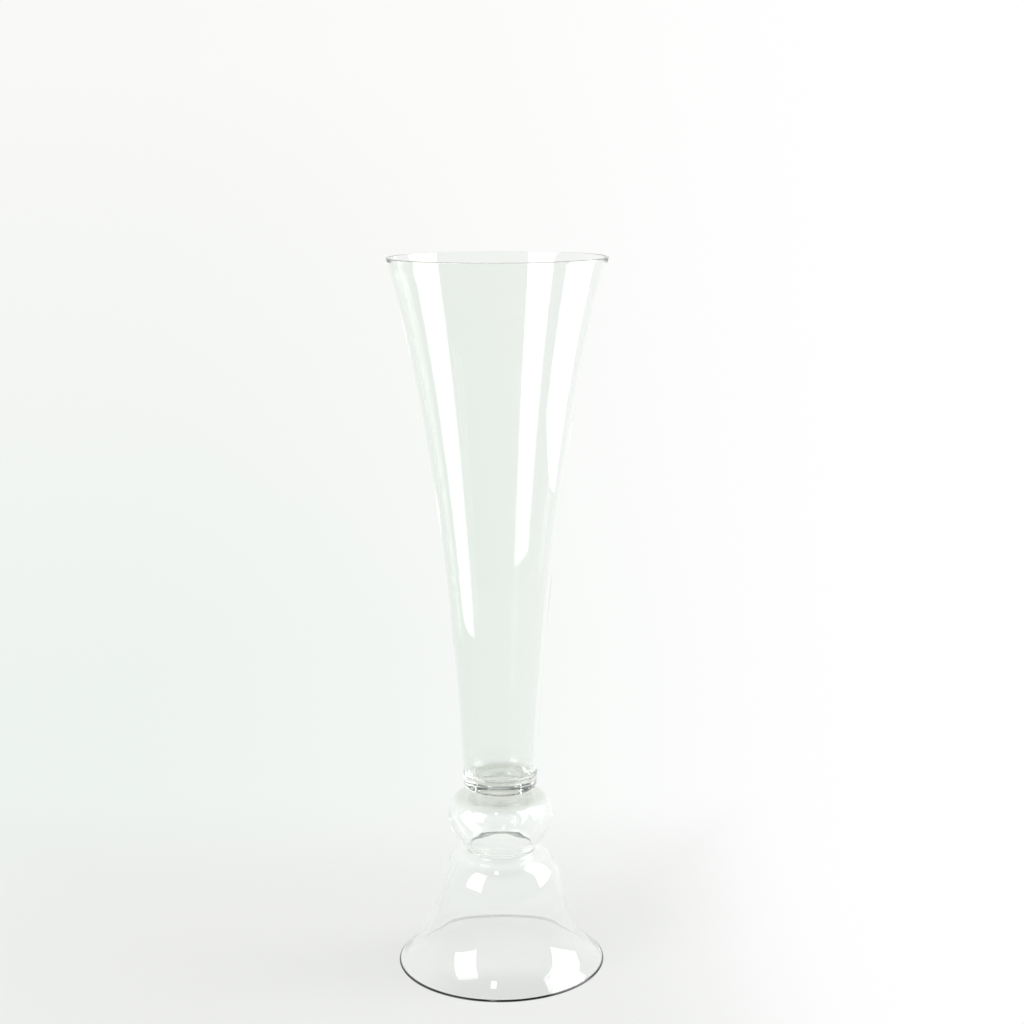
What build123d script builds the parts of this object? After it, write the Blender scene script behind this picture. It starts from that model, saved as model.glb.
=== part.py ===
from build123d import *
import math
import os

# A tall reversible vase in clear blown glass: a trumpet for the flowers, welded to the crown of
# a hollow knop that opens downwards into a bell. It stands on the bell's rim, or upside down on
# the trumpet's mouth. Millimetres, +Z up. The origin is on the axis, in the plane of the bell's rim.

os.makedirs("parts", exist_ok=True)

# Overall sizes
height = 700.0
mouth_radius = 104.5
bell_radius = 102.5

# How the gathers of glass stack up under the trumpet
bell_height = 118.0
knop_height = 56.6
weld_thickness = 2.4

# Trumpet: solid foot and floor, then one wall that thins out towards the lip
foot_radius = 36.0
foot_corner_radius = 9.0
foot_wall = 4.4
floor_thickness = 15.0
cavity_corner_radius = 9.0
lip_wall = 3.4

# Trumpet: the floor sagged over the weld while the glass was hot, and left a shallow round dip
dip_radius = 21.5
dip_depth = 3.5
dip_side_width = 2.5
dip_side_share = 0.45

# Trumpet: how far the wall leans out from upright at the foot and at the lip, in degrees,
# and how far along the wall's span each lean is carried
foot_lean_angle = 3.0
lip_lean_angle = 15.5
foot_lean_share = 0.083
lip_lean_share = 0.41

# Weld: a flattened button of glass between the trumpet's foot and the knop's crown
weld_radius = 20.5
weld_bulge = 0.6

# Knop: its widest circle stands this far above the neck
knop_radius = 51.4
knop_equator_height = 32.0
knop_wall = 3.2
knop_crown_wall = 4.6
crown_rise_share = 0.555
crown_run_share = 0.60
underside_fall_share = 0.354
underside_run_share = 0.185
underside_angle = 42.6

# Neck: a sharp crease outside and a soft throat inside, where the knop meets the bell
crease_radius = 33.5
neck_wall = 2.0

# Bell: the shoulder turns down into the skirt on this circle
shoulder_radius = 61.3
shoulder_height = 80.0
bell_wall = 3.2
shoulder_start_angle = 19.6
shoulder_end_angle = 80.4
shoulder_start_share = 0.494
shoulder_end_share = 0.20

# Skirt: stations as shares of the way out and of the way down, from shoulder to rim
skirt_out_shares = (0.068, 0.163, 0.280, 0.414, 0.573, 0.748)
skirt_down_shares = (0.19, 0.38, 0.56, 0.70, 0.815, 0.905)
rim_angle = 38.0

# Rims: cut square to the axis where the vase stands, with both edges melted round in the flame
edge_radius = 0.7

# Stations for the inside of a wall, as shares of the way along its outside
trumpet_station_shares = (0.10, 0.22, 0.35, 0.48, 0.61, 0.74, 0.87)
crown_station_shares = (0.75, 0.5, 0.25, 0.0)
underside_station_shares = (0.3, 0.55, 0.78)
shoulder_station_shares = (0.20, 0.45, 0.70, 1.0)
skirt_station_shares = (0.25, 0.5, 0.75)

# Levels
neck_level = bell_height
crown_level = neck_level + knop_height
foot_level = crown_level + weld_thickness
floor_level = foot_level + floor_thickness
equator_level = neck_level + knop_equator_height
throat_radius = crease_radius - neck_wall


def at(radius, level):
    """A point of the half section, by its distance from the axis and its height."""
    return Vector(radius, 0, level)


def toward(degrees):
    """A unit vector of the half section, turned up from the outward direction."""
    angle = math.radians(degrees)
    return at(math.cos(angle), math.sin(angle))


def bend(start, start_degrees, start_share, end, end_degrees, end_share):
    """One smooth curve that leaves and arrives in given directions."""
    span = (end - start).length
    leaving = start + toward(start_degrees) * (span * start_share)
    arriving = end - toward(end_degrees) * (span * end_share)
    return Bezier(start, leaving, arriving, end)


def corner(centre, radius, start_degrees, end_degrees):
    """A round corner of the half section."""
    middle_degrees = (start_degrees + end_degrees) / 2
    return ThreePointArc(
        centre + toward(start_degrees) * radius,
        centre + toward(middle_degrees) * radius,
        centre + toward(end_degrees) * radius,
    )


def inside_stations(outside, shares, wall_at, turn):
    """Points of the wall's inside: square to its outside, one wall away. Turn is +1 or -1."""
    stations = []
    for share in shares:
        way = outside % share
        square = at(-way.Z, way.X) * turn
        stations.append(outside @ share + square * wall_at(share))
    return stations


def cut_width(wall, lean_degrees):
    """How wide the flat of a cut rim is, on a wall that leans so far from upright."""
    return (wall - edge_radius * 2) / math.cos(math.radians(lean_degrees))


def turned(edges, name):
    """Turn a closed half section round the axis and write it as one node."""
    solid = revolve(make_face(edges), axis=Axis.Z)
    solid.label = name
    export_step(solid, f"parts/{name}.step")
    return solid


def make_trumpet():
    """The trumpet: a heavy foot with a solid floor, and a wall that flares to the lip."""
    foot_round = at(foot_radius - foot_corner_radius, foot_level + foot_corner_radius)
    lip_out = at(mouth_radius - edge_radius, height - edge_radius)
    lip_in = lip_out - at(cut_width(lip_wall, lip_lean_angle), 0)

    outside = bend(
        foot_round + toward(-foot_lean_angle) * foot_corner_radius,
        90 - foot_lean_angle,
        foot_lean_share,
        lip_out + toward(-lip_lean_angle) * edge_radius,
        90 - lip_lean_angle,
        lip_lean_share,
    )

    # The cavity's corner meets the wall square to the wall's lean
    lean = math.radians(foot_lean_angle)
    wall_start_level = floor_level + cavity_corner_radius * (1 - math.sin(lean))
    wall_start_radius = foot_radius - foot_wall + (wall_start_level - foot_level) * math.tan(lean)
    wall_start = at(wall_start_radius, wall_start_level)
    cavity_round = wall_start - toward(-foot_lean_angle) * cavity_corner_radius

    def wall_at(share):
        return foot_wall + (lip_wall - foot_wall) * share

    inside = inside_stations(outside, trumpet_station_shares, wall_at, 1)
    inside_wall = Spline(
        wall_start,
        *inside,
        lip_in + toward(180 - lip_lean_angle) * edge_radius,
        tangents=[toward(90 - foot_lean_angle), toward(90 - lip_lean_angle)],
    )

    foot_edge = at(foot_round.X, foot_level)
    floor_edge = at(cavity_round.X, floor_level)
    dip_edge = at(dip_radius, floor_level)
    dip_floor = dip_edge - at(dip_side_width, dip_depth)
    edges = [
        Line(at(0, foot_level), foot_edge),
        corner(foot_round, foot_corner_radius, -90, -foot_lean_angle),
        outside,
        corner(lip_out, edge_radius, -lip_lean_angle, 90),
        Line(at(lip_out.X, height), at(lip_in.X, height)),
        corner(lip_in, edge_radius, 90, 180 - lip_lean_angle),
        inside_wall,
        corner(cavity_round, cavity_corner_radius, -foot_lean_angle, -90),
        Line(floor_edge, dip_edge),
        bend(dip_edge, 180, dip_side_share, dip_floor, 180, dip_side_share),
        Line(dip_floor, at(0, dip_floor.Z)),
        Line(at(0, dip_floor.Z), at(0, foot_level)),
    ]
    return turned(edges, "trumpet_bowl")


def make_weld():
    """The button of glass that joins the trumpet's foot to the knop's crown."""
    face_radius = weld_radius - weld_bulge
    edges = [
        Line(at(0, crown_level), at(face_radius, crown_level)),
        ThreePointArc(
            at(face_radius, crown_level),
            at(weld_radius, (crown_level + foot_level) / 2),
            at(face_radius, foot_level),
        ),
        Line(at(face_radius, foot_level), at(0, foot_level)),
        Line(at(0, foot_level), at(0, crown_level)),
    ]
    return turned(edges, "weld_disc")


def make_knop():
    """The hollow knop: flat where the weld sits, round at its widest, open at the neck."""
    crease = at(crease_radius, neck_level)
    equator = at(knop_radius, equator_level)
    crown_edge = at(weld_radius, crown_level)
    underside = bend(
        crease, underside_angle, underside_run_share, equator, 90, underside_fall_share
    )
    crown = bend(equator, 90, crown_rise_share, crown_edge, 180, crown_run_share)

    def crown_wall_at(share):
        return knop_wall + (knop_crown_wall - knop_wall) * share

    def underside_wall_at(share):
        return knop_wall

    under_crown = at(0, crown_level - knop_crown_wall)
    throat = at(throat_radius, neck_level)
    inside_crown = inside_stations(crown, crown_station_shares, crown_wall_at, 1)
    inside_underside = inside_stations(
        underside, underside_station_shares[::-1], underside_wall_at, 1
    )
    inside_wall = Spline(
        under_crown,
        *inside_crown,
        *inside_underside,
        throat,
        tangents=[toward(0), toward(-90)],
    )
    edges = [
        Line(throat, crease),
        underside,
        crown,
        Line(crown_edge, at(0, crown_level)),
        Line(at(0, crown_level), under_crown),
        inside_wall,
    ]
    return turned(edges, "hollow_knop")


def make_bell():
    """The bell: a rounded shoulder under the neck, then a skirt that flares to the rim."""
    crease = at(crease_radius, neck_level)
    throat = at(throat_radius, neck_level)
    shoulder_end = at(shoulder_radius, shoulder_height)
    rim_out = at(bell_radius - edge_radius, edge_radius)
    rim_in = rim_out - at(cut_width(bell_wall, 90 - rim_angle), 0)
    skirt_end = rim_out + toward(90 - rim_angle) * edge_radius

    shoulder = bend(
        crease,
        -shoulder_start_angle,
        shoulder_start_share,
        shoulder_end,
        -shoulder_end_angle,
        shoulder_end_share,
    )
    way_out = skirt_end.X - shoulder_end.X
    way_down = shoulder_end.Z - skirt_end.Z
    skirt_stations = [
        at(shoulder_end.X + way_out * out, shoulder_end.Z - way_down * down)
        for out, down in zip(skirt_out_shares, skirt_down_shares)
    ]
    skirt = Spline(
        shoulder_end,
        *skirt_stations,
        skirt_end,
        tangents=[toward(-shoulder_end_angle), toward(-rim_angle)],
    )

    def wall_at(share):
        return bell_wall

    inside_shoulder = inside_stations(shoulder, shoulder_station_shares, wall_at, -1)
    inside_skirt = inside_stations(skirt, skirt_station_shares, wall_at, -1)
    inside_wall = Spline(
        throat,
        *inside_shoulder,
        *inside_skirt,
        rim_in + toward(-90 - rim_angle) * edge_radius,
        tangents=[toward(-90), toward(-rim_angle)],
    )
    edges = [
        Line(throat, crease),
        shoulder,
        skirt,
        corner(rim_out, edge_radius, 90 - rim_angle, -90),
        Line(at(rim_out.X, 0), at(rim_in.X, 0)),
        corner(rim_in, edge_radius, -90, -90 - rim_angle),
        inside_wall,
    ]
    return turned(edges, "bell_foot")


make_trumpet()
make_weld()
make_knop()
make_bell()
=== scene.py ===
import math

import bpy
import numpy as np
from mathutils import Euler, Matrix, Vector


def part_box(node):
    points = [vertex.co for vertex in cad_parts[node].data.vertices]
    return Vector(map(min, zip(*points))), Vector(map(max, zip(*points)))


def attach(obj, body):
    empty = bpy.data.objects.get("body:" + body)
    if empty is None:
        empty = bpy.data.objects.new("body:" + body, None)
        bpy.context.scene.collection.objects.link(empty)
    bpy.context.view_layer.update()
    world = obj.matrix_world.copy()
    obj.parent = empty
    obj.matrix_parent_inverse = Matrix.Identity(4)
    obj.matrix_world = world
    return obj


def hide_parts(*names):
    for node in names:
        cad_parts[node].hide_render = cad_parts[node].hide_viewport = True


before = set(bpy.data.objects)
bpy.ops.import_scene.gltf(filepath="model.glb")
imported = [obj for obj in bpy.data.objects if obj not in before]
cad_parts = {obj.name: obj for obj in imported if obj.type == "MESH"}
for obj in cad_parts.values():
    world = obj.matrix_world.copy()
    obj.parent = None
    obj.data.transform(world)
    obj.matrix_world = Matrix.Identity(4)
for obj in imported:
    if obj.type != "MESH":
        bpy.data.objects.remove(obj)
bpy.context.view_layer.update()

# A tall reversible vase in clear blown glass: a trumpet fused by a button of glass to the crown
# of a hollow knop, which opens through a creased neck into a bell. Metres, +Z up, the vase's axis
# on Z, the bell's rim on the table at zero.

MM = 0.001

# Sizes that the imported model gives
trumpet_low, trumpet_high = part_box("trumpet_bowl")
weld_low, weld_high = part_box("weld_disc")
knop_low, knop_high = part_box("hollow_knop")
height = trumpet_high.z
mouth_radius = trumpet_high.x
foot_level = trumpet_low.z
crown_level = weld_low.z
neck_level = knop_low.z
weld_radius = weld_high.x
knop_radius = knop_high.x
bell_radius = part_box("bell_foot")[1].x

# Trumpet: solid foot and floor, then one wall that thins out towards the lip. Shares are parts of
# a curve's span, and angles are in degrees.
foot_radius = 36.0 * MM
foot_corner_radius = 9.0 * MM
foot_wall = 4.4 * MM
floor_thickness = 15.0 * MM
cavity_corner_radius = 9.0 * MM
lip_wall = 3.4 * MM
foot_lean_angle = 3.0
lip_lean_angle = 15.5
foot_lean_share = 0.083
lip_lean_share = 0.41

# The floor sagged over the weld while it was hot, and left a shallow round dip
dip_radius = 21.5 * MM
dip_depth = 3.5 * MM
dip_side_width = 2.5 * MM
dip_side_share = 0.45

# Weld: a flattened button of glass, whose round edge turns this far up and down from outward
weld_bulge = 0.6 * MM
weld_edge_angle = 75

# Knop: widest some way above the neck
equator_level = neck_level + 32.0 * MM
knop_wall = 3.2 * MM
knop_crown_wall = 4.6 * MM
crown_rise_share = 0.555
crown_run_share = 0.60
underside_fall_share = 0.354
underside_run_share = 0.185
underside_angle = 42.6

# Neck: a sharp crease outside and a soft throat inside
crease_radius = 33.5 * MM
throat_radius = crease_radius - 2.0 * MM

# Bell: a round shoulder, then a skirt that flares to the rim
shoulder_radius = 61.3 * MM
shoulder_height = 80.0 * MM
bell_wall = 3.2 * MM
shoulder_start_angle = 19.6
shoulder_end_angle = 80.4
shoulder_start_share = 0.494
shoulder_end_share = 0.20
skirt_out_shares = (0.068, 0.163, 0.280, 0.414, 0.573, 0.748)
skirt_down_shares = (0.19, 0.38, 0.56, 0.70, 0.815, 0.905)
rim_angle = 38.0

# Rims: cut square to the axis, with both edges melted soft in the flame
edge_radius = 0.7 * MM

# How far the blowing left the inside of the walls from true, and over what length along the axis.
# Each part of the waver has its share, its lobes round the axis, how many turns it makes in that
# length, and where it starts.
wall_waver = 0.10 * MM
waver_length = 160 * MM
waver_parts = ((0.5, 2, 1.0, 0.4), (0.3, 3, -1.7, 2.1), (0.2, 5, 2.3, 5.0))

# Each fused face stands back this far from where the pieces meet, so that a ray meets the two
# faces one after the other
fused_gap = 0.01 * MM

# Faces: how many round the axis, how long along the trumpet's wall, and how many along the rest
faces_round = 288
wall_step = 5 * MM
corner_steps = 10
floor_steps = 4
dip_steps = 12
weld_edge_points = 7
underside_steps = 20
crown_steps = 24
knop_inside_steps = 56
shoulder_steps = 24
skirt_steps = 36
bell_inside_steps = 64
# Edges that turn more than this are shaded sharp
sharp_angle = 25

# Which points of a wall's offset outline its smooth inside goes through
crown_picks = slice(0, None, 6)
underside_picks = slice(4, 17, 5)
shoulder_picks = slice(5, None, 6)
skirt_picks = slice(9, 28, 9)

# Glass: how it bends light, its cords, its haze, and the levels off the foot's middle between
# which the thick glass gives way to the thin
glass_ior = 1.52
cord_spacing = 9 * MM
cord_depth = 0.01 * MM
cord_stretch = 0.12
cord_detail = 1.5
haze_patch = 30 * MM
haze_detail = 3
haze_start, haze_end = 0.45, 0.8
haze_roughness = 0.012
thick_middle = foot_level + 4 * MM
thick_end, thin_start = 8 * MM, 14 * MM
foot_tint = "#E0E3DC"
trumpet_tint = "#F8FAF8"
thin_tint = "#FEFFFE"

# Rim glass: its painted shade and how much light it passes on, at the bell and at the mouth
bell_rim_painted_shade = "#141716"
mouth_rim_painted_shade = "#E6E7E0"
bell_rim_clearness = 0.2
mouth_rim_clearness = 0.7
rim_roughness = 0.08
rim_wave = 6 * MM
rim_wave_depth = 0.05 * MM
rim_wave_detail = 1

# Studio: a pale sweep with painted light, white to the right and grey-green to the left, as a
# paper background reads between two softboxes
dim_low = "#EEF3EF"
dim_high = "#F9F9F7"
bright_side = "#FFFFFF"
dim_low_slope, dim_high_slope = -0.27, 0.05
dim_slope, bright_slope = -0.22, 0.24

# The paper near the vase, and the distances over which it fades into the sweep: all round the
# vase, to the right of it and behind it
floor_radius = 6.0
floor_sides = 64
near_paper = "#F6F7F5"
paper_colour = "#D9DBD9"
paper_glow = 0.7
fade_start, fade_end = 0.30, 0.90
right_fade_start, right_fade_end = 0.10, 0.34
back_fade_start, back_fade_end = 0.08, 0.50

# What stands opposite the sweep: a pale front under a dark ceiling. The slopes are those between
# which the front gives way to the sweep, and to the ceiling.
pale_front = "#DEE2E0"
dark_ceiling = "#262A28"
front_slope, sweep_slope = -0.1, 0.5
front_top, ceiling_start = 0.6, 0.9
room_white = "#FFFFFF"
room_light = 0.5

# Lights: name, azimuth from the camera's side towards +X in degrees, distance from the axis,
# level, the level on the axis that it faces, width, height, and the radiance of its face
softboxes = (
    ("right_softbox", 98, 0.85, 0.80, 0.80, 0.62, 1.2, 4.0),
    ("left_softbox", -55, 1.16, 0.95, 0.95, 0.70, 1.17, 4.0),
    ("small_lamp", -17, 0.6, 1.45, 0.1, 0.12, 0.2, 12.0),
)

# The photograph's camera, fitted to the ellipses of both rims and the levels between them. It
# looks down, a little to the right, and is a little rolled, all in degrees.
picture_width = 1024
sensor_width = 36.0
focal_pixels = 1827.46
camera_distance = 1724.37 * MM
camera_height = 790.89 * MM
camera_pitch = 10.974
camera_yaw = 0.418
camera_roll = 0.26
nearest_view = 0.01

# Light crosses many walls of glass on its way
bounces = 64


def at(radius, level):
    """A point of the half section, by its distance from the axis and its height."""
    return np.array([radius, level])


def toward(degrees):
    """A unit vector of the half section, turned up from the outward direction."""
    angle = math.radians(degrees)
    return np.array([math.cos(angle), math.sin(angle)])


def straight(start, end, count=1):
    """A straight stretch."""
    t = np.linspace(0, 1, count + 1)[:, None]
    return start * (1 - t) + end * t


def bend(start, start_degrees, start_share, end, end_degrees, end_share, count):
    """A smooth curve that leaves and arrives in given directions."""
    span = np.linalg.norm(end - start)
    leaving = start + toward(start_degrees) * span * start_share
    arriving = end - toward(end_degrees) * span * end_share
    t = np.linspace(0, 1, count + 1)[:, None]
    s = 1 - t
    return start * s**3 + leaving * (3 * s**2 * t) + arriving * (3 * s * t**2) + end * t**3


def corner(centre, radius, start_degrees, end_degrees):
    """A round corner."""
    turns = np.radians(np.linspace(start_degrees, end_degrees, corner_steps + 1))
    return centre + radius * np.stack([np.cos(turns), np.sin(turns)], axis=1)


def measure(points):
    """The lengths between a line's points, and how far along the line each point is."""
    lengths = np.linalg.norm(np.diff(points, axis=0), axis=1)
    return lengths, np.concatenate([[0], np.cumsum(lengths)])


def smooth_line(points, start_degrees, end_degrees, count):
    """A smooth line through points that leaves and arrives in given directions."""
    points = np.array(points)
    lengths, knots = measure(points)
    last = len(points) - 1
    system = np.zeros((last + 1, last + 1))
    wanted = np.zeros((last + 1, 2))
    system[0, 0] = system[last, last] = 1
    wanted[0] = toward(start_degrees)
    wanted[last] = toward(end_degrees)
    for i in range(1, last):
        before, after = lengths[i - 1], lengths[i]
        system[i, i - 1], system[i, i], system[i, i + 1] = after, 2 * (before + after), before
        rise_before = (points[i] - points[i - 1]) / before
        rise_after = (points[i + 1] - points[i]) / after
        wanted[i] = 3 * (after * rise_before + before * rise_after)
    ways = np.linalg.solve(system, wanted)
    places = np.linspace(0, knots[-1], count + 1)
    spans = np.clip(np.searchsorted(knots, places, side="right") - 1, 0, last - 1)
    length = lengths[spans][:, None]
    t = (places - knots[spans])[:, None] / length
    start, end = points[spans], points[spans + 1]
    return (
        start * (2 * t**3 - 3 * t**2 + 1)
        + ways[spans] * length * (t**3 - 2 * t**2 + t)
        + end * (3 * t**2 - 2 * t**3)
        + ways[spans + 1] * length * (t**3 - t**2)
    )


def thinning(points, first_wall, last_wall):
    """A wall that changes evenly along a line: how thick it is at each of the line's points."""
    travelled = measure(points)[1]
    return first_wall + (last_wall - first_wall) * travelled / travelled[-1]


def inside_of(outside, walls, turn):
    """The wall's inside: square to its outside, one wall away. Turn is +1 or -1."""
    way = np.gradient(outside, axis=0, edge_order=2)
    way /= np.linalg.norm(way, axis=1)[:, None]
    square = np.stack([-way[:, 1], way[:, 0]], axis=1) * turn
    return outside + square * np.asarray(walls).reshape(-1, 1)


def cut_width(wall, lean_degrees):
    """How wide the flat of a cut rim is, on a wall that leans so far from the axis."""
    return (wall - 2 * edge_radius) / math.cos(math.radians(lean_degrees))


def linear(hex_colour):
    """An sRGB hex colour as the linear colour that a shader takes."""
    shares = [int(hex_colour[i : i + 2], 16) / 255 for i in (1, 3, 5)]
    low = [share / 12.92 for share in shares]
    high = [((share + 0.055) / 1.055) ** 2.4 for share in shares]
    return [b if share > 0.04045 else a for share, a, b in zip(shares, low, high)] + [1.0]


def add_node(tree, kind, inputs=None, **settings):
    """One node: inputs gives a socket a value, or the socket of another node that feeds it."""
    made = tree.nodes.new(kind)
    for name, value in settings.items():
        setattr(made, name, value)
    for socket, value in (inputs or {}).items():
        if isinstance(value, bpy.types.NodeSocket):
            tree.links.new(value, made.inputs[socket])
        else:
            made.inputs[socket].default_value = value
    return made


def new_material(name):
    """An empty material, with its tree."""
    material = bpy.data.materials.new(name)
    material.use_nodes = True
    material.node_tree.nodes.clear()
    return material, material.node_tree


def blown_glass():
    """Clear soda-lime glass, blown and fire-polished: bright, hard-edged reflections that waver a
    little where the gather was uneven, and hardly any colour but a grey-green in thick glass."""
    material, tree = new_material("clear blown soda-lime glass")
    place = add_node(tree, "ShaderNodeTexCoord").outputs["Object"]
    # Cords: faint stringy layers that the gather leaves, drawn out along the axis
    along = add_node(tree, "ShaderNodeMapping", {"Vector": place, "Scale": (1, 1, cord_stretch)})
    cords = add_node(
        tree,
        "ShaderNodeTexNoise",
        {"Vector": along.outputs[0], "Scale": 1 / cord_spacing, "Detail": cord_detail},
    )
    bump = add_node(
        tree,
        "ShaderNodeBump",
        {"Height": cords.outputs["Fac"], "Strength": 1.0, "Distance": cord_depth},
    )
    # The faintest haze of handling, in patches
    haze = add_node(
        tree,
        "ShaderNodeTexNoise",
        {"Vector": place, "Scale": 1 / haze_patch, "Detail": haze_detail},
    )
    roughness = add_node(
        tree,
        "ShaderNodeMapRange",
        {
            "Value": haze.outputs["Fac"],
            "From Min": haze_start,
            "From Max": haze_end,
            "To Max": haze_roughness,
        },
    )
    # Thick glass at the foot shows its iron more than the thin walls above and below
    level = add_node(tree, "ShaderNodeSeparateXYZ", {"Vector": place}).outputs["Z"]
    above_foot = add_node(tree, "ShaderNodeMath", {0: level, 1: thick_middle}, operation="SUBTRACT")
    off_foot = add_node(tree, "ShaderNodeMath", {0: above_foot.outputs[0]}, operation="ABSOLUTE")
    thin = add_node(
        tree,
        "ShaderNodeMapRange",
        {"Value": off_foot.outputs[0], "From Min": thick_end, "From Max": thin_start},
    )
    # The trumpet's walls are thicker than the bell's and the knop's
    in_trumpet = add_node(
        tree, "ShaderNodeMath", {0: level, 1: foot_level}, operation="GREATER_THAN"
    )
    wall_tint = add_node(
        tree,
        "ShaderNodeMix",
        {"Factor": in_trumpet.outputs[0], "A": linear(thin_tint), "B": linear(trumpet_tint)},
        data_type="RGBA",
    )
    tint = add_node(
        tree,
        "ShaderNodeMix",
        {"Factor": thin.outputs[0], "A": linear(foot_tint), "B": wall_tint.outputs["Result"]},
        data_type="RGBA",
    )
    surface = add_node(
        tree,
        "ShaderNodeBsdfPrincipled",
        {
            "Base Color": tint.outputs["Result"],
            "Roughness": roughness.outputs[0],
            "IOR": glass_ior,
            "Transmission Weight": 1.0,
            "Normal": bump.outputs[0],
        },
    )
    add_node(tree, "ShaderNodeOutputMaterial", {"Surface": surface.outputs[0]})
    return material


def rim_glass_with_painted_shade():
    """Soda-lime glass at a cut rim, ground on a wheel and then only softened in the flame. Its
    colour carries painted shade and it passes little light, so the rim reads as a thin line, pale
    grey at the mouth and dark at the bell, where the table closes it off from below."""
    material, tree = new_material("cut and flame-softened rim of soda-lime glass")
    place = add_node(tree, "ShaderNodeTexCoord").outputs["Object"]
    level = add_node(tree, "ShaderNodeSeparateXYZ", {"Vector": place}).outputs["Z"]
    # The flame leaves the edge a little uneven
    uneven = add_node(
        tree,
        "ShaderNodeTexNoise",
        {"Vector": place, "Scale": 1 / rim_wave, "Detail": rim_wave_detail},
    )
    bump = add_node(
        tree,
        "ShaderNodeBump",
        {"Height": uneven.outputs["Fac"], "Strength": 1.0, "Distance": rim_wave_depth},
    )
    # Painted shade: the rim is darkest at the bell, where it meets the table, and palest at the
    # mouth
    upward = add_node(tree, "ShaderNodeMapRange", {"Value": level, "From Max": height})
    tint = add_node(
        tree,
        "ShaderNodeMix",
        {"Factor": upward.outputs[0], "A": linear(bell_rim_painted_shade), "B": linear(mouth_rim_painted_shade)},
        data_type="RGBA",
    )
    clearness = add_node(
        tree,
        "ShaderNodeMapRange",
        {
            "Value": upward.outputs[0],
            "To Min": bell_rim_clearness,
            "To Max": mouth_rim_clearness,
        },
    )
    surface = add_node(
        tree,
        "ShaderNodeBsdfPrincipled",
        {
            "Base Color": tint.outputs["Result"],
            "Roughness": rim_roughness,
            "IOR": glass_ior,
            "Transmission Weight": clearness.outputs[0],
            "Normal": bump.outputs[0],
        },
    )
    add_node(tree, "ShaderNodeOutputMaterial", {"Surface": surface.outputs[0]})
    return material


def fused_glass():
    """Where two gathers were fused hot there is no surface left: light goes straight on."""
    material, tree = new_material("fused soda-lime glass")
    through = add_node(tree, "ShaderNodeBsdfTransparent")
    add_node(tree, "ShaderNodeOutputMaterial", {"Surface": through.outputs[0]})
    return material


# The rim faces take the rim glass, whose colour carries painted shade
POLISHED, RIM_PAINTED_SHADE, FUSED = range(3)
finishes = (blown_glass(), rim_glass_with_painted_shade(), fused_glass())


def waver(angles, level):
    """How far the wall's inside is from true there, as a share: slow lobes that turn with height."""
    turn = 2 * math.pi * level / waver_length
    return sum(
        share * np.sin(lobes * angles + turns * turn + start)
        for share, lobes, turns, start in waver_parts
    )


def lathe(name, node, stretches):
    """A closed piece turned round the axis. Each stretch is (points, finish, how much of the
    waver it has from its start to its end); one stretch starts where the last one ends."""
    path, marks, wavers = [], [], []
    for points, finish, start_waver, end_waver in stretches:
        shares = np.linspace(start_waver, end_waver, len(points))
        for point, share in zip(points[:-1], shares[:-1]):
            path.append(point)
            marks.append(finish)
            wavers.append(share)
    angles = np.linspace(0, 2 * math.pi, faces_round, endpoint=False)
    turned = np.stack([np.cos(angles), np.sin(angles)], axis=1)
    # A path that goes round the other way is turned the other way, so that faces look outwards
    radii, levels = np.array(path).T
    if np.dot(radii, np.roll(levels, -1)) < np.dot(levels, np.roll(radii, -1)):
        turned = turned * (1, -1)
    vertices, rings = [], []
    for (radius, level), share in zip(path, wavers):
        # A point on the axis makes no ring
        if radius < fused_gap:
            rings.append([len(vertices)])
            vertices.append((0, 0, level))
            continue
        rings.append(list(range(len(vertices), len(vertices) + faces_round)))
        around = radius + wall_waver * share * waver(angles, level)
        vertices.extend((r * c, r * s, level) for r, (c, s) in zip(around, turned))
    faces, kinds = [], []
    for i, ring in enumerate(rings):
        after = rings[(i + 1) % len(rings)]
        if len(ring) == 1 and len(after) == 1:
            continue
        for j in range(faces_round):
            k = (j + 1) % faces_round
            if len(ring) == 1:
                faces.append((ring[0], after[k], after[j]))
            elif len(after) == 1:
                faces.append((ring[j], ring[k], after[0]))
            else:
                faces.append((ring[j], ring[k], after[k], after[j]))
            kinds.append(marks[i])
    mesh = bpy.data.meshes.new(name)
    mesh.from_pydata(vertices, [], faces)
    mesh.polygons.foreach_set("material_index", kinds)
    for finish in finishes:
        mesh.materials.append(finish)
    mesh.shade_smooth()
    mesh.set_sharp_from_angle(angle=math.radians(sharp_angle))
    mesh.update()
    piece = bpy.data.objects.new(name, mesh)
    bpy.context.scene.collection.objects.link(piece)
    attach(piece, "root")
    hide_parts(node)


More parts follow.
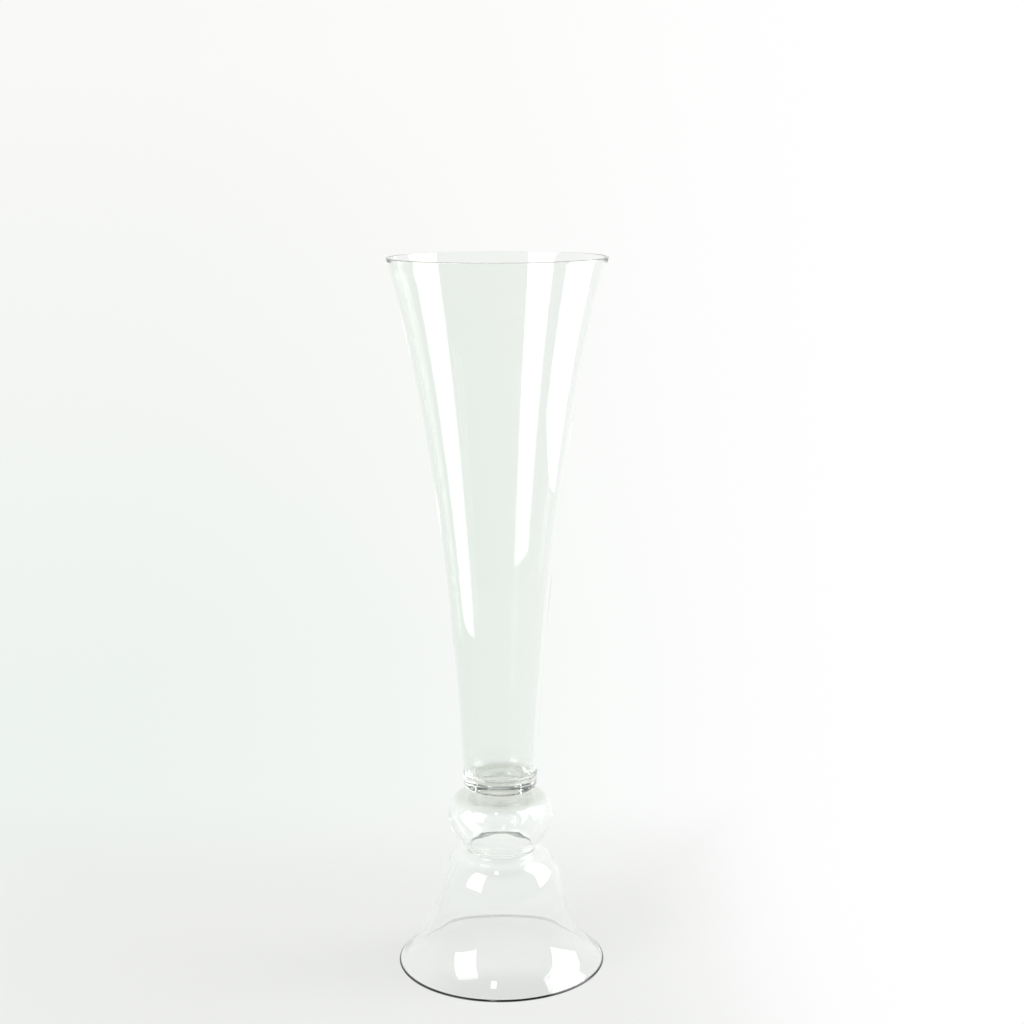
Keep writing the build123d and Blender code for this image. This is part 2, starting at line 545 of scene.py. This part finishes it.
def make_trumpet():
    """The trumpet: a heavy foot with a solid floor, and a wall that flares to the lip."""
    fused_level = foot_level + fused_gap
    face_radius = weld_radius - weld_bulge
    foot_round = at(foot_radius - foot_corner_radius, foot_level + foot_corner_radius)
    lip_out = at(mouth_radius - edge_radius, height - edge_radius)
    lip_in = lip_out - at(cut_width(lip_wall, lip_lean_angle), 0)
    wall_start = foot_round + toward(-foot_lean_angle) * foot_corner_radius
    wall_end = lip_out + toward(-lip_lean_angle) * edge_radius
    outside = bend(
        wall_start,
        90 - foot_lean_angle,
        foot_lean_share,
        wall_end,
        90 - lip_lean_angle,
        lip_lean_share,
        round(float(np.linalg.norm(wall_end - wall_start)) / wall_step),
    )
    lean = math.radians(foot_lean_angle)
    floor_level = foot_level + floor_thickness
    corner_level = floor_level + cavity_corner_radius * (1 - math.sin(lean))
    corner_edge = foot_radius - foot_wall + (corner_level - foot_level) * math.tan(lean)
    cavity_round = at(corner_edge, corner_level) - toward(-foot_lean_angle) * cavity_corner_radius
    inside = inside_of(outside, thinning(outside, foot_wall, lip_wall), 1)
    inside_end = lip_in + toward(180 - lip_lean_angle) * edge_radius
    # The inside has its own ends, so the points that would crowd them are left out
    levels = inside[:, 1]
    clear = (levels > corner_level + wall_step / 2) & (levels < inside_end[1] - wall_step / 2)
    inside = np.concatenate([[at(corner_edge, corner_level)], inside[clear], [inside_end]])
    foot_edge = at(foot_round[0], foot_level)
    floor_edge = at(cavity_round[0], floor_level)
    dip_edge = at(dip_radius, floor_level)
    dip_floor = dip_edge - at(dip_side_width, dip_depth)
    dip_side = bend(dip_edge, 180, dip_side_share, dip_floor, 180, dip_side_share, dip_steps)
    lathe(
        "trumpet",
        "trumpet_bowl",
        [
            (straight(at(0, fused_level), at(face_radius, fused_level)), FUSED, 0, 0),
            (straight(at(face_radius, foot_level), foot_edge), POLISHED, 0, 0),
            (corner(foot_round, foot_corner_radius, -90, -foot_lean_angle), POLISHED, 0, 0),
            (outside, POLISHED, 0, 0),
            (corner(lip_out, edge_radius, -lip_lean_angle, 90), RIM_PAINTED_SHADE, 0, 0),
            (straight(at(lip_out[0], height), at(lip_in[0], height)), POLISHED, 0, 0),
            (corner(lip_in, edge_radius, 90, 180 - lip_lean_angle), POLISHED, 0, 0),
            (inside[::-1], POLISHED, 0, 1),
            (corner(cavity_round, cavity_corner_radius, -foot_lean_angle, -90), POLISHED, 1, 0),
            (straight(floor_edge, dip_edge, floor_steps), POLISHED, 0, 0),
            (dip_side, POLISHED, 0, 0),
            (straight(dip_floor, at(0, dip_floor[1]), floor_steps), POLISHED, 0, 0),
            (straight(at(0, dip_floor[1]), at(0, fused_level)), POLISHED, 0, 0),
        ],
    )


def make_weld():
    """The button of glass that joins the trumpet's foot to the knop's crown."""
    face_radius = weld_radius - weld_bulge
    low, high = crown_level + fused_gap, foot_level - fused_gap
    middle = (crown_level + foot_level) / 2
    rise = (foot_level - crown_level) / 2
    turns = np.radians(np.linspace(-weld_edge_angle, weld_edge_angle, weld_edge_points))
    edge = [
        at(face_radius, low),
        *(at(face_radius + weld_bulge * math.cos(t), middle + rise * math.sin(t)) for t in turns),
        at(face_radius, high),
    ]
    lathe(
        "weld",
        "weld_disc",
        [
            (straight(at(0, low), edge[0]), FUSED, 0, 0),
            (edge, POLISHED, 0, 0),
            (straight(edge[-1], at(0, high)), FUSED, 0, 0),
            (straight(at(0, high), at(0, low)), POLISHED, 0, 0),
        ],
    )


def make_knop():
    """The hollow knop: flat where the weld sits, round at its widest, open at the neck."""
    seam_level = neck_level + fused_gap
    fused_level = crown_level - fused_gap
    face_radius = weld_radius - weld_bulge
    crease = at(crease_radius, neck_level)
    equator = at(knop_radius, equator_level)
    crown_edge = at(weld_radius, crown_level)
    underside = bend(
        crease,
        underside_angle,
        underside_run_share,
        equator,
        90,
        underside_fall_share,
        underside_steps,
    )
    crown = bend(equator, 90, crown_rise_share, crown_edge, 180, crown_run_share, crown_steps)
    inside_crown = inside_of(crown, thinning(crown, knop_wall, knop_crown_wall), 1)[::-1]
    inside_underside = inside_of(underside, knop_wall, 1)[::-1]
    under_crown = at(0, crown_level - knop_crown_wall)
    inside = smooth_line(
        [
            under_crown,
            *inside_crown[crown_picks],
            *inside_underside[underside_picks],
            at(throat_radius, neck_level),
        ],
        0,
        -90,
        knop_inside_steps,
    )
    # The waver fades in from the crown to here, and out again to the neck
    half = knop_inside_steps // 2
    lathe(
        "knop",
        "hollow_knop",
        [
            (straight(at(throat_radius, seam_level), at(crease_radius, seam_level)), FUSED, 0, 0),
            (underside, POLISHED, 0, 0),
            (crown, POLISHED, 0, 0),
            (straight(crown_edge, at(face_radius, crown_level)), POLISHED, 0, 0),
            (straight(at(face_radius, fused_level), at(0, fused_level)), FUSED, 0, 0),
            (straight(at(0, fused_level), under_crown), POLISHED, 0, 0),
            (inside[: half + 1], POLISHED, 0, 1),
            (inside[half:], POLISHED, 1, 0),
        ],
    )


def make_bell():
    """The bell: a rounded shoulder under the neck, then a skirt that flares to the rim."""
    seam_level = neck_level - fused_gap
    crease = at(crease_radius, neck_level)
    shoulder_end = at(shoulder_radius, shoulder_height)
    rim_out = at(bell_radius - edge_radius, edge_radius)
    rim_in = rim_out - at(cut_width(bell_wall, 90 - rim_angle), 0)
    skirt_end = rim_out + toward(90 - rim_angle) * edge_radius
    shoulder = bend(
        crease,
        -shoulder_start_angle,
        shoulder_start_share,
        shoulder_end,
        -shoulder_end_angle,
        shoulder_end_share,
        shoulder_steps,
    )
    way = skirt_end - shoulder_end
    stations = [
        shoulder_end + way * at(out, down)
        for out, down in zip(skirt_out_shares, skirt_down_shares)
    ]
    skirt = smooth_line(
        [shoulder_end, *stations, skirt_end], -shoulder_end_angle, -rim_angle, skirt_steps
    )
    # The flame softened the rim a little way up the skirt
    softened = (skirt[-2] + skirt[-1]) / 2
    inside_shoulder = inside_of(shoulder, bell_wall, -1)
    inside_skirt = inside_of(skirt, bell_wall, -1)
    inside = smooth_line(
        [
            at(throat_radius, neck_level),
            *inside_shoulder[shoulder_picks],
            *inside_skirt[skirt_picks],
            rim_in + toward(-90 - rim_angle) * edge_radius,
        ],
        -90,
        -rim_angle,
        bell_inside_steps,
    )
    lathe(
        "bell",
        "bell_foot",
        [
            (straight(at(throat_radius, seam_level), at(crease_radius, seam_level)), FUSED, 0, 0),
            (shoulder, POLISHED, 0, 0),
            ([*skirt[:-1], softened], POLISHED, 0, 0),
            (straight(softened, skirt[-1]), RIM_PAINTED_SHADE, 0, 0),
            (corner(rim_out, edge_radius, 90 - rim_angle, -90), RIM_PAINTED_SHADE, 0, 0),
            (straight(at(rim_out[0], 0), at(rim_in[0], 0)), POLISHED, 0, 0),
            (corner(rim_in, edge_radius, -90, -90 - rim_angle), POLISHED, 0, 0),
            (inside[::-1], POLISHED, 0, 0),
        ],
    )


def sweep_painted_light(tree, across, upward):
    """The sweep's painted light, from its grey-green side, which pales upwards, to its white side.
    The two values say how far to the right and up a spot lies, as parts of its distance from the
    camera."""
    rise = add_node(
        tree,
        "ShaderNodeMapRange",
        {"Value": upward, "From Min": dim_low_slope, "From Max": dim_high_slope},
    )
    dim = add_node(
        tree,
        "ShaderNodeMix",
        {"Factor": rise.outputs[0], "A": linear(dim_low), "B": linear(dim_high)},
        data_type="RGBA",
    )
    share = add_node(
        tree,
        "ShaderNodeMapRange",
        {"Value": across, "From Min": dim_slope, "From Max": bright_slope},
        interpolation_type="SMOOTHSTEP",
    )
    return add_node(
        tree,
        "ShaderNodeMix",
        {"Factor": share.outputs[0], "A": dim.outputs["Result"], "B": linear(bright_side)},
        data_type="RGBA",
    ).outputs["Result"]


def make_floor():
    """The table end of the sweep: matt paper that takes the vase's soft shadow, mixed with a
    glow of painted light that fades into the sweep's own tone further out."""
    material, tree = new_material("matt white paper")
    place = add_node(tree, "ShaderNodeTexCoord").outputs["Object"]
    parts = add_node(tree, "ShaderNodeSeparateXYZ", {"Vector": place})
    away = add_node(tree, "ShaderNodeVectorMath", {0: place}, operation="LENGTH").outputs["Value"]
    # Painted light: on the right the paper glows white from close by, as the brightly lit sweep
    fades = [
        add_node(
            tree,
            "ShaderNodeMapRange",
            {"Value": distance, "From Min": start, "From Max": end},
            interpolation_type="SMOOTHSTEP",
        ).outputs[0]
        for distance, start, end in (
            (away, fade_start, fade_end),
            (parts.outputs["X"], right_fade_start, right_fade_end),
            (parts.outputs["Y"], back_fade_start, back_fade_end),
        )
    ]
    beyond = add_node(tree, "ShaderNodeMath", {0: fades[1], 1: fades[2]}, operation="MAXIMUM")
    swept = add_node(
        tree, "ShaderNodeMath", {0: fades[0], 1: beyond.outputs[0]}, operation="MAXIMUM"
    )
    reach = add_node(tree, "ShaderNodeMath", {0: away, 1: camera_distance}, operation="ADD")
    across = add_node(
        tree, "ShaderNodeMath", {0: parts.outputs["X"], 1: reach.outputs[0]}, operation="DIVIDE"
    )
    downward = add_node(
        tree, "ShaderNodeMath", {0: -camera_height, 1: reach.outputs[0]}, operation="DIVIDE"
    )
    tone = sweep_painted_light(tree, across.outputs[0], downward.outputs[0])
    # Painted light: the glow goes from the pale paper near the vase to the sweep's painted tone
    painted_light_glow = add_node(
        tree,
        "ShaderNodeMix",
        {"Factor": swept.outputs[0], "A": linear(near_paper), "B": tone},
        data_type="RGBA",
    )
    paper = add_node(tree, "ShaderNodeBsdfDiffuse", {"Color": linear(paper_colour)})
    sweep = add_node(tree, "ShaderNodeEmission", {"Color": painted_light_glow.outputs["Result"]})
    glowing = add_node(
        tree,
        "ShaderNodeMapRange",
        {"Value": swept.outputs[0], "To Min": paper_glow, "To Max": 1.0},
    )
    mixed = add_node(
        tree,
        "ShaderNodeMixShader",
        {0: glowing.outputs[0], 1: paper.outputs[0], 2: sweep.outputs[0]},
    )
    add_node(tree, "ShaderNodeOutputMaterial", {"Surface": mixed.outputs[0]})
    turns = [2 * math.pi * i / floor_sides for i in range(floor_sides)]
    corners = [(floor_radius * math.cos(t), floor_radius * math.sin(t), 0) for t in turns]
    mesh = bpy.data.meshes.new("floor")
    mesh.from_pydata(corners, [], [tuple(range(floor_sides))])
    mesh.materials.append(material)
    floor = bpy.data.objects.new("floor", mesh)
    bpy.context.scene.collection.objects.link(floor)


def make_world():
    """What surrounds the vase: the sweep, which shows straight and through the glass, a pale
    front under a dark ceiling, which show only mirrored, and the room's light on matt things."""
    world = bpy.data.worlds.new("studio")
    bpy.context.scene.world = world
    world.use_nodes = True
    tree = world.node_tree
    tree.nodes.clear()
    way = add_node(tree, "ShaderNodeTexCoord").outputs["Generated"]
    parts = add_node(tree, "ShaderNodeSeparateXYZ", {"Vector": way})
    # Painted light: the sweep is painted white to the right and grey-green to the left, paler
    # upwards
    tone = sweep_painted_light(tree, parts.outputs["X"], parts.outputs["Z"])
    sweep = add_node(tree, "ShaderNodeBackground", {"Color": tone})
    toward_sweep = add_node(
        tree,
        "ShaderNodeMapRange",
        {"Value": parts.outputs["Y"], "From Min": front_slope, "From Max": sweep_slope},
        interpolation_type="SMOOTHSTEP",
    )
    overhead = add_node(
        tree,
        "ShaderNodeMapRange",
        {"Value": parts.outputs["Z"], "From Min": front_top, "From Max": ceiling_start},
    )
    front_tone = add_node(
        tree,
        "ShaderNodeMix",
        {"Factor": overhead.outputs[0], "A": linear(pale_front), "B": linear(dark_ceiling)},
        data_type="RGBA",
    )
    studio_tone = add_node(
        tree,
        "ShaderNodeMix",
        {"Factor": toward_sweep.outputs[0], "A": front_tone.outputs["Result"], "B": tone},
        data_type="RGBA",
    )
    studio = add_node(tree, "ShaderNodeBackground", {"Color": studio_tone.outputs["Result"]})
    room = add_node(
        tree, "ShaderNodeBackground", {"Color": linear(room_white), "Strength": room_light}
    )
    path = add_node(tree, "ShaderNodeLightPath")
    mirrored = add_node(
        tree, "ShaderNodeMath", {0: path.outputs["Glossy Depth"], 1: 0}, operation="GREATER_THAN"
    )
    # Camera, mirrored and transmitted rays see the studio, and all others get the room's light
    seen = path.outputs["Is Camera Ray"]
    for kind in ("Is Glossy Ray", "Is Transmission Ray"):
        seen = add_node(
            tree, "ShaderNodeMath", {0: seen, 1: path.outputs[kind]}, operation="MAXIMUM"
        ).outputs[0]
    shown = add_node(
        tree,
        "ShaderNodeMixShader",
        {0: mirrored.outputs[0], 1: sweep.outputs[0], 2: studio.outputs[0]},
    )
    whole = add_node(
        tree, "ShaderNodeMixShader", {0: seen, 1: room.outputs[0], 2: shown.outputs[0]}
    )
    add_node(tree, "ShaderNodeOutputWorld", {"Surface": whole.outputs[0]})


def add_softbox(name, azimuth, distance, level, aim_level, width, tall, brightness):
    """A rectangular softbox round the vase, which faces a point of its axis."""
    angle = math.radians(azimuth)
    place = Vector((distance * math.sin(angle), -distance * math.cos(angle), level))
    light = bpy.data.lights.new(name, "AREA")
    light.shape = "RECTANGLE"
    light.size = width
    light.size_y = tall
    light.energy = brightness * math.pi * width * tall
    box = bpy.data.objects.new(name, light)
    box.location = place
    box.rotation_euler = (Vector((0, 0, aim_level)) - place).to_track_quat("-Z", "Y").to_euler()
    box.visible_camera = False
    bpy.context.scene.collection.objects.link(box)


def make_camera():
    """The photograph's camera."""
    camera_data = bpy.data.cameras.new("camera")
    camera_data.sensor_width = sensor_width
    camera_data.lens = focal_pixels / picture_width * sensor_width
    camera_data.clip_start = nearest_view
    camera = bpy.data.objects.new("camera", camera_data)
    camera.location = (0, -camera_distance, camera_height)
    aim = Euler((math.radians(90 - camera_pitch), 0, math.radians(-camera_yaw)), "XYZ").to_matrix()
    roll = Euler((0, 0, math.radians(-camera_roll)), "XYZ").to_matrix()
    camera.rotation_euler = (aim @ roll).to_euler()
    bpy.context.scene.collection.objects.link(camera)
    bpy.context.scene.camera = camera


make_trumpet()
make_weld()
make_knop()
make_bell()
make_floor()
make_world()
for softbox in softboxes:
    add_softbox(*softbox)
make_camera()

scene = bpy.context.scene
scene.view_settings.view_transform = "Standard"
scene.cycles.max_bounces = bounces
scene.cycles.transmission_bounces = bounces
scene.cycles.glossy_bounces = bounces
scene.cycles.transparent_max_bounces = bounces

bpy.context.view_layer.update()
